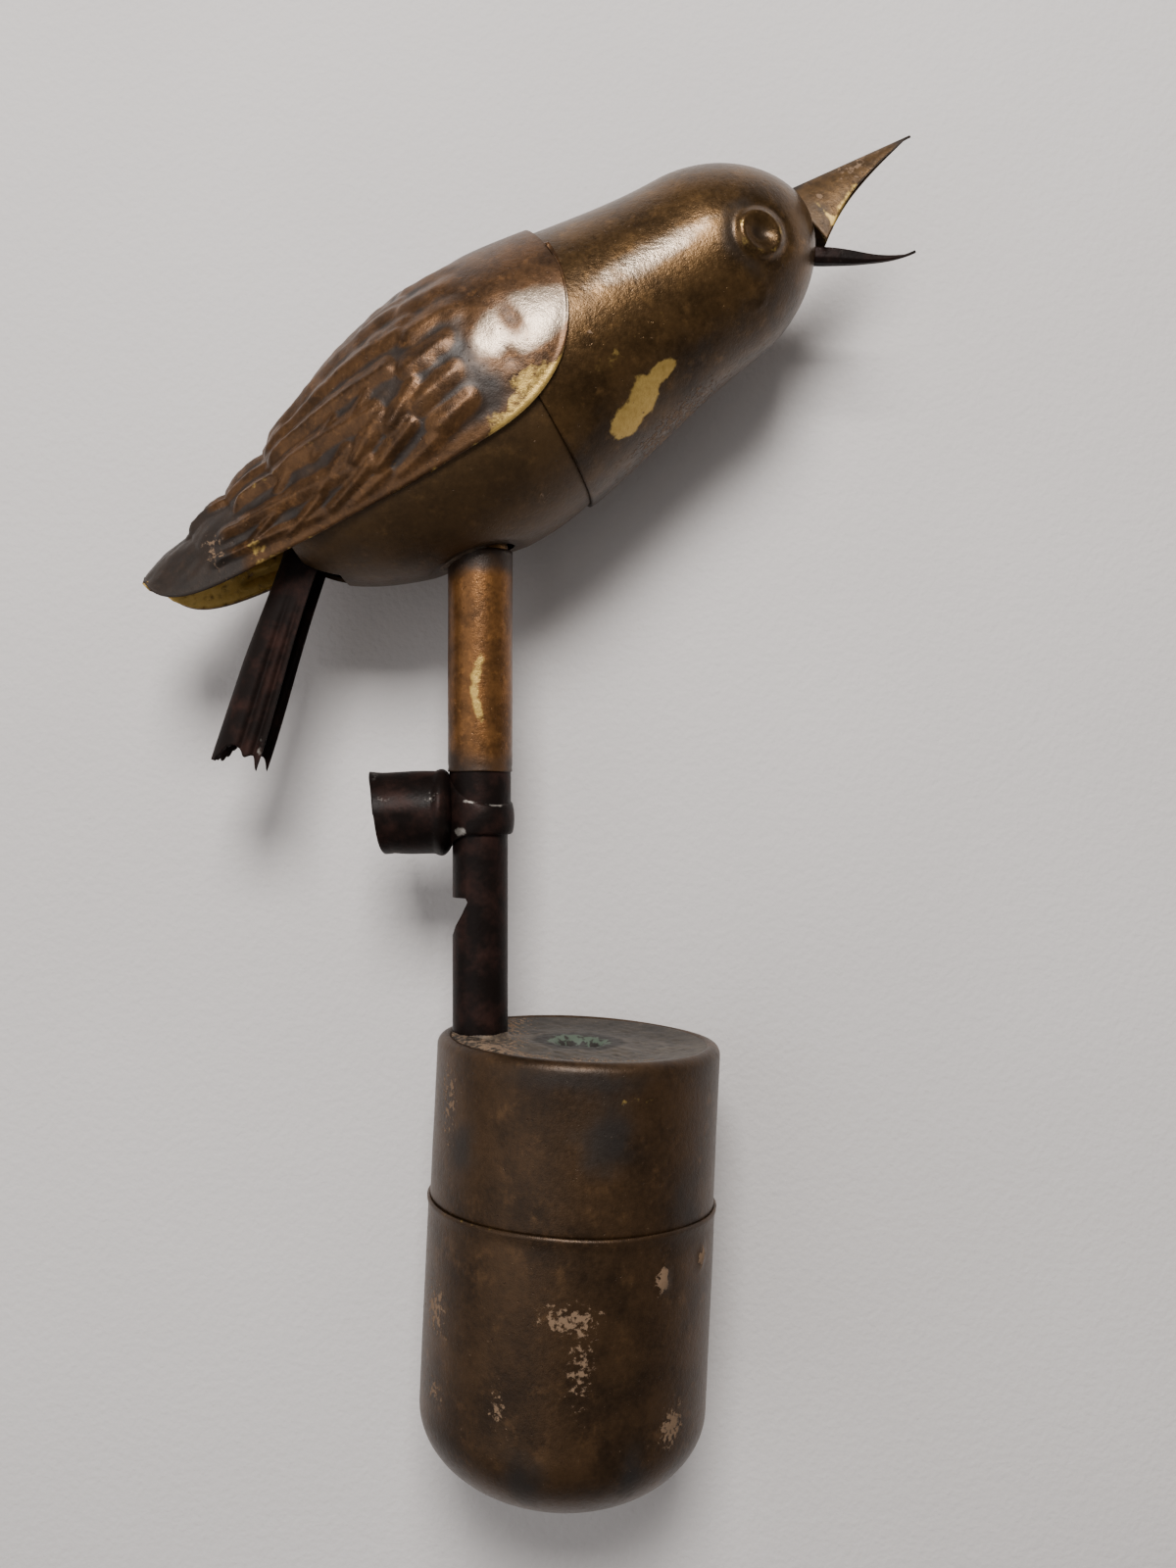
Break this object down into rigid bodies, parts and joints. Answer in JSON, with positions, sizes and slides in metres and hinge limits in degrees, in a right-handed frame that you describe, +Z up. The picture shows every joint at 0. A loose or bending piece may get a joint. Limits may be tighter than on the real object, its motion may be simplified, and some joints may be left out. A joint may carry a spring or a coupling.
{
  "type": "bird water whistle",
  "caption": "Brass bird water whistle: a bird with a hinged lower beak and tail on a blow-pipe stem over a capped water cup.",
  "frame": {"origin": "on the cup's axis, at the seam between the lower cup and the upper band", "axes": "+Z up, parallel to the stem; +X the way the bird faces; the cup's own axis leans 2.6 degrees towards +X at its top"},
  "size_m": [0.0812, 0.03, 0.143],
  "materials": {
    "cup_brass": "dark brown tarnish with black blotches and tan specks",
    "bird_brass": "tarnished brass, rubbed to gold in patches",
    "rear_brass": "dark tarnished brass",
    "wing_brass": "embossed brass, brown in the hollows and rubbed bright on the shoulder",
    "stem_brass": "orange-brown lacquered brass, worn along the front",
    "black_metal": "near-black patina with grey solder glints",
    "solder": "dull grey-brown soft solder"
  },
  "bodies": {
    "whistle": {"reservoir_cup": "cup_brass", "reservoir_band": "cup_brass", "top_plate": "cup_brass", "tube_foot_solder": "solder", "whistle_tube": "black_metal", "windway_block": "black_metal", "tee_sleeve": "black_metal", "saddle_collar": "black_metal", "mouth_tube": "black_metal", "stem_tube": "stem_brass", "belly_collar": "solder", "air_nozzle": "bird_brass", "rear_shell": "rear_brass", "front_shell": "bird_brass", "wing_cover": "wing_brass", "upper_beak": "bird_brass", "beak_pivot_pin": "bird_brass", "tail_pivot_pin": "bird_brass", "front_guide": "bird_brass", "rear_guide": "bird_brass"},
    "tail_lever": {"tail_blade": "black_metal", "tail_hub": "black_metal", "tail_arm": "black_metal", "tail_crank_pin": "bird_brass"},
    "beak_lever": {"lower_beak": "black_metal", "beak_hub": "black_metal", "beak_arm": "black_metal", "beak_crank_pin": "bird_brass"},
    "push_rod_group": {"push_rod": "bird_brass", "air_vane": "bird_brass", "front_slot_plate": "bird_brass", "rear_slot_plate": "bird_brass"}
  },
  "joints": [
    {"name": "tail_hinge", "type": "hinge", "parent": "whistle", "child": "tail_lever", "pos_m": [-0.0261, 0, 0.07113], "axis": [0, 1, 0], "range_deg": [0, 36]},
    {"name": "beak_hinge", "type": "hinge", "parent": "whistle", "child": "beak_lever", "pos_m": [0.01886, 0, 0.0983], "axis": [0, 1, 0], "range_deg": [-36, 0]},
    {"name": "rod_slide", "type": "slide", "parent": "whistle", "child": "push_rod_group", "axis": [-0.8387, 0, -0.5446], "range_m": [0, 0.0016]}
  ],
  "couplings": [
    {"joint": "beak_hinge", "follows": "rod_slide", "rad_per_m": -391.1},
    {"joint": "tail_hinge", "follows": "rod_slide", "rad_per_m": 391.1}
  ]
}
